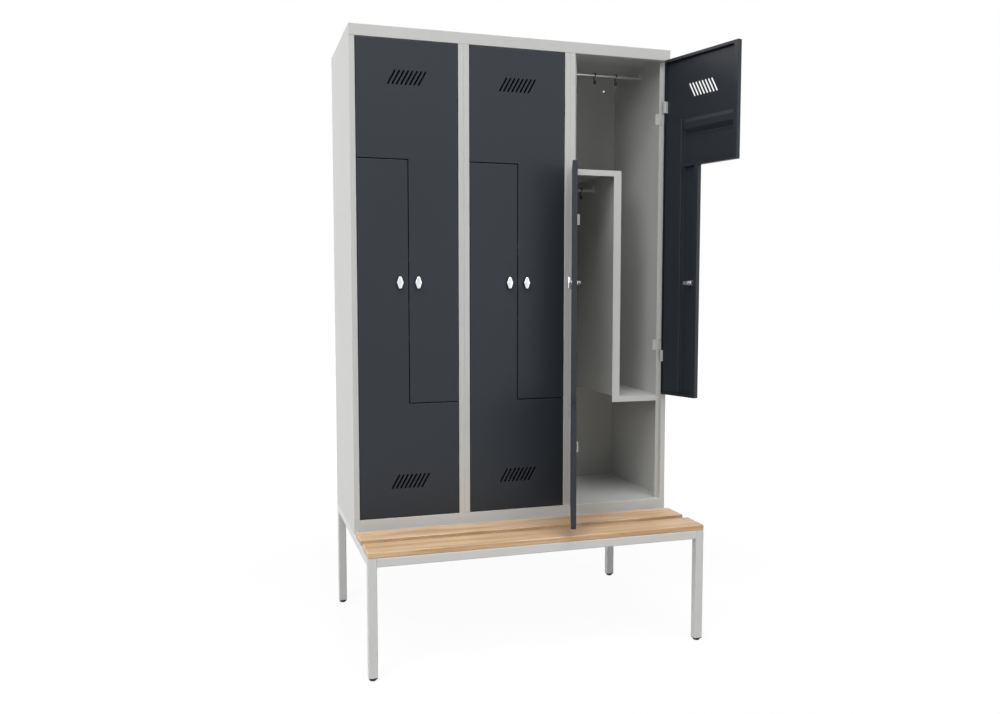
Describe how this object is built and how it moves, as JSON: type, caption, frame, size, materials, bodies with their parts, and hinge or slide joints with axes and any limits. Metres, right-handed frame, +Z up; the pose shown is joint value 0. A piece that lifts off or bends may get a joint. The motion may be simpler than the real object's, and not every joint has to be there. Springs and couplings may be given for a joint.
{
  "type": "locker with bench",
  "caption": "Sheet steel locker with interlocking Z-shaped doors and compartments, on a square tube frame whose front carries a slatted wooden bench.",
  "frame": {"origin": "on the floor, under the middle of the frame's footprint", "axes": "+X along the width to the viewer's right, +Y from the bench towards the rear, +Z up"},
  "size_m": [1.2921, 0.8445, 2.154],
  "materials": {
    "carcass_paint": "light grey powder coat",
    "door_paint": "dark grey powder coat",
    "frame_paint": "light grey powder coat",
    "beech": "clear lacquered beech",
    "knob_metal": "bright satin zinc",
    "lock_metal": "zinc plated",
    "hinge_steel": "light grey powder coat",
    "rail_steel": "zinc plated",
    "fastener_steel": "zinc plated",
    "hook_plastic": "black moulded",
    "glide_plastic": "black moulded"
  },
  "bodies": {
    "locker_and_bench": {"side_panel_left": "carcass_paint", "side_panel_right": "carcass_paint", "partition_left_middle": "carcass_paint", "partition_middle_right": "carcass_paint", "back_panel": "carcass_paint", "top_panel": "carcass_paint", "bottom_panel": "carcass_paint", "z_divider_left": "carcass_paint", "z_divider_middle": "carcass_paint", "z_divider_right": "carcass_paint", "clothes_rails": "rail_steel", "rail_sockets": "rail_steel", "hinge_frame_plates": "hinge_steel", "hinge_pins": "fastener_steel", "bench_legs": "frame_paint", "bench_rails": "frame_paint", "seat_slat_front": "beech", "seat_slat_rear": "beech", "slat_screws": "fastener_steel", "carcass_bolts": "fastener_steel", "foot_glides": "glide_plastic"},
    "left_lower_door": {"left_lower_door_shell": "door_paint", "left_lower_door_stiffeners": "door_paint", "left_lower_door_hinge_leaves": "hinge_steel", "left_lower_door_lock_barrel": "lock_metal"},
    "left_lower_door_knob": {"left_lower_door_turn_knob": "knob_metal"},
    "left_upper_door": {"left_upper_door_shell": "door_paint", "left_upper_door_stiffeners": "door_paint", "left_upper_door_hinge_leaves": "hinge_steel", "left_upper_door_lock_barrel": "lock_metal"},
    "left_upper_door_knob": {"left_upper_door_turn_knob": "knob_metal"},
    "left_upper_hook_1_slider": {"left_upper_hook_1": "hook_plastic"},
    "left_upper_hook_2_slider": {"left_upper_hook_2": "hook_plastic"},
    "left_lower_hook_slider": {"left_lower_hook": "hook_plastic"},
    "middle_lower_door": {"middle_lower_door_shell": "door_paint", "middle_lower_door_stiffeners": "door_paint", "middle_lower_door_hinge_leaves": "hinge_steel", "middle_lower_door_lock_barrel": "lock_metal"},
    "middle_lower_door_knob": {"middle_lower_door_turn_knob": "knob_metal"},
    "middle_upper_door": {"middle_upper_door_shell": "door_paint", "middle_upper_door_stiffeners": "door_paint", "middle_upper_door_hinge_leaves": "hinge_steel", "middle_upper_door_lock_barrel": "lock_metal"},
    "middle_upper_door_knob": {"middle_upper_door_turn_knob": "knob_metal"},
    "middle_upper_hook_1_slider": {"middle_upper_hook_1": "hook_plastic"},
    "middle_upper_hook_2_slider": {"middle_upper_hook_2": "hook_plastic"},
    "middle_lower_hook_slider": {"middle_lower_hook": "hook_plastic"},
    "right_lower_door": {"right_lower_door_shell": "door_paint", "right_lower_door_stiffeners": "door_paint", "right_lower_door_hinge_leaves": "hinge_steel", "right_lower_door_lock_barrel": "lock_metal"},
    "right_lower_door_knob": {"right_lower_door_turn_knob": "knob_metal"},
    "right_upper_door": {"right_upper_door_shell": "door_paint", "right_upper_door_stiffeners": "door_paint", "right_upper_door_hinge_leaves": "hinge_steel", "right_upper_door_lock_barrel": "lock_metal"},
    "right_upper_door_knob": {"right_upper_door_turn_knob": "knob_metal"},
    "right_upper_hook_1_slider": {"right_upper_hook_1": "hook_plastic"},
    "right_upper_hook_2_slider": {"right_upper_hook_2": "hook_plastic"},
    "right_lower_hook_slider": {"right_lower_hook": "hook_plastic"}
  },
  "joints": [
    {"name": "left_lower_door_hinge", "type": "hinge", "parent": "locker_and_bench", "child": "left_lower_door", "pos_m": [-0.5855, -0.092, 1.2835], "axis": [0, 0, 1], "range_deg": [-115, 0]},
    {"name": "left_lower_door_knob_turn", "type": "hinge", "parent": "left_lower_door", "child": "left_lower_door_knob", "pos_m": [-0.4325, -0.096, 1.2835], "axis": [0, -1, 0], "range_deg": [0, 180]},
    {"name": "left_upper_door_hinge", "type": "hinge", "parent": "locker_and_bench", "child": "left_upper_door", "pos_m": [-0.2145, -0.092, 1.2835], "axis": [0, 0, 1], "range_deg": [0, 115]},
    {"name": "left_upper_door_knob_turn", "type": "hinge", "parent": "left_upper_door", "child": "left_upper_door_knob", "pos_m": [-0.3675, -0.096, 1.2835], "axis": [0, 1, 0], "range_deg": [0, 180]},
    {"name": "left_upper_hook_1_slide", "type": "slide", "parent": "locker_and_bench", "child": "left_upper_hook_1_slider", "axis": [1, 0, 0], "range_m": [-0.175, 0.08]},
    {"name": "left_upper_hook_2_slide", "type": "slide", "parent": "locker_and_bench", "child": "left_upper_hook_2_slider", "axis": [1, 0, 0], "range_m": [-0.08, 0.09]},
    {"name": "left_lower_hook_slide", "type": "slide", "parent": "locker_and_bench", "child": "left_lower_hook_slider", "axis": [1, 0, 0], "range_m": [-0.13, 0.04]},
    {"name": "middle_lower_door_hinge", "type": "hinge", "parent": "locker_and_bench", "child": "middle_lower_door", "pos_m": [-0.1855, -0.092, 1.2835], "axis": [0, 0, 1], "range_deg": [-115, 0]},
    {"name": "middle_lower_door_knob_turn", "type": "hinge", "parent": "middle_lower_door", "child": "middle_lower_door_knob", "pos_m": [-0.0325, -0.096, 1.2835], "axis": [0, -1, 0], "range_deg": [0, 180]},
    {"name": "middle_upper_door_hinge", "type": "hinge", "parent": "locker_and_bench", "child": "middle_upper_door", "pos_m": [0.1855, -0.092, 1.2835], "axis": [0, 0, 1], "range_deg": [0, 62]},
    {"name": "middle_upper_door_knob_turn", "type": "hinge", "parent": "middle_upper_door", "child": "middle_upper_door_knob", "pos_m": [0.0325, -0.096, 1.2835], "axis": [0, 1, 0], "range_deg": [0, 180]},
    {"name": "middle_upper_hook_1_slide", "type": "slide", "parent": "locker_and_bench", "child": "middle_upper_hook_1_slider", "axis": [1, 0, 0], "range_m": [-0.175, 0.08]},
    {"name": "middle_upper_hook_2_slide", "type": "slide", "parent": "locker_and_bench", "child": "middle_upper_hook_2_slider", "axis": [1, 0, 0], "range_m": [-0.08, 0.09]},
    {"name": "middle_lower_hook_slide", "type": "slide", "parent": "locker_and_bench", "child": "middle_lower_hook_slider", "axis": [1, 0, 0], "range_m": [-0.13, 0.04]},
    {"name": "right_lower_door_hinge", "type": "hinge", "parent": "locker_and_bench", "child": "right_lower_door", "pos_m": [0.2145, -0.092, 1.2835], "axis": [0, 0, 1], "range_deg": [-3.8, 111.2]},
    {"name": "right_lower_door_knob_turn", "type": "hinge", "parent": "right_lower_door", "child": "right_lower_door_knob", "pos_m": [0.15544, -0.2332, 1.2835], "axis": [-0.9323, 0.3616, 0], "range_deg": [0, 180]},
    {"name": "right_upper_door_hinge", "type": "hinge", "parent": "locker_and_bench", "child": "right_upper_door", "pos_m": [0.5855, -0.092, 1.2835], "axis": [0, 0, 1], "range_deg": [-106.5, 8.5]},
    {"name": "right_upper_door_knob_turn", "type": "hinge", "parent": "right_upper_door", "child": "right_upper_door_knob", "pos_m": [0.63279, -0.23756, 1.2835], "axis": [-0.9588, -0.284, 0], "range_deg": [0, 180]},
    {"name": "right_upper_hook_1_slide", "type": "slide", "parent": "locker_and_bench", "child": "right_upper_hook_1_slider", "axis": [1, 0, 0], "range_m": [-0.175, 0.08]},
    {"name": "right_upper_hook_2_slide", "type": "slide", "parent": "locker_and_bench", "child": "right_upper_hook_2_slider", "axis": [1, 0, 0], "range_m": [-0.08, 0.09]},
    {"name": "right_lower_hook_slide", "type": "slide", "parent": "locker_and_bench", "child": "right_lower_hook_slider", "axis": [1, 0, 0], "range_m": [-0.13, 0.04]}
  ]
}
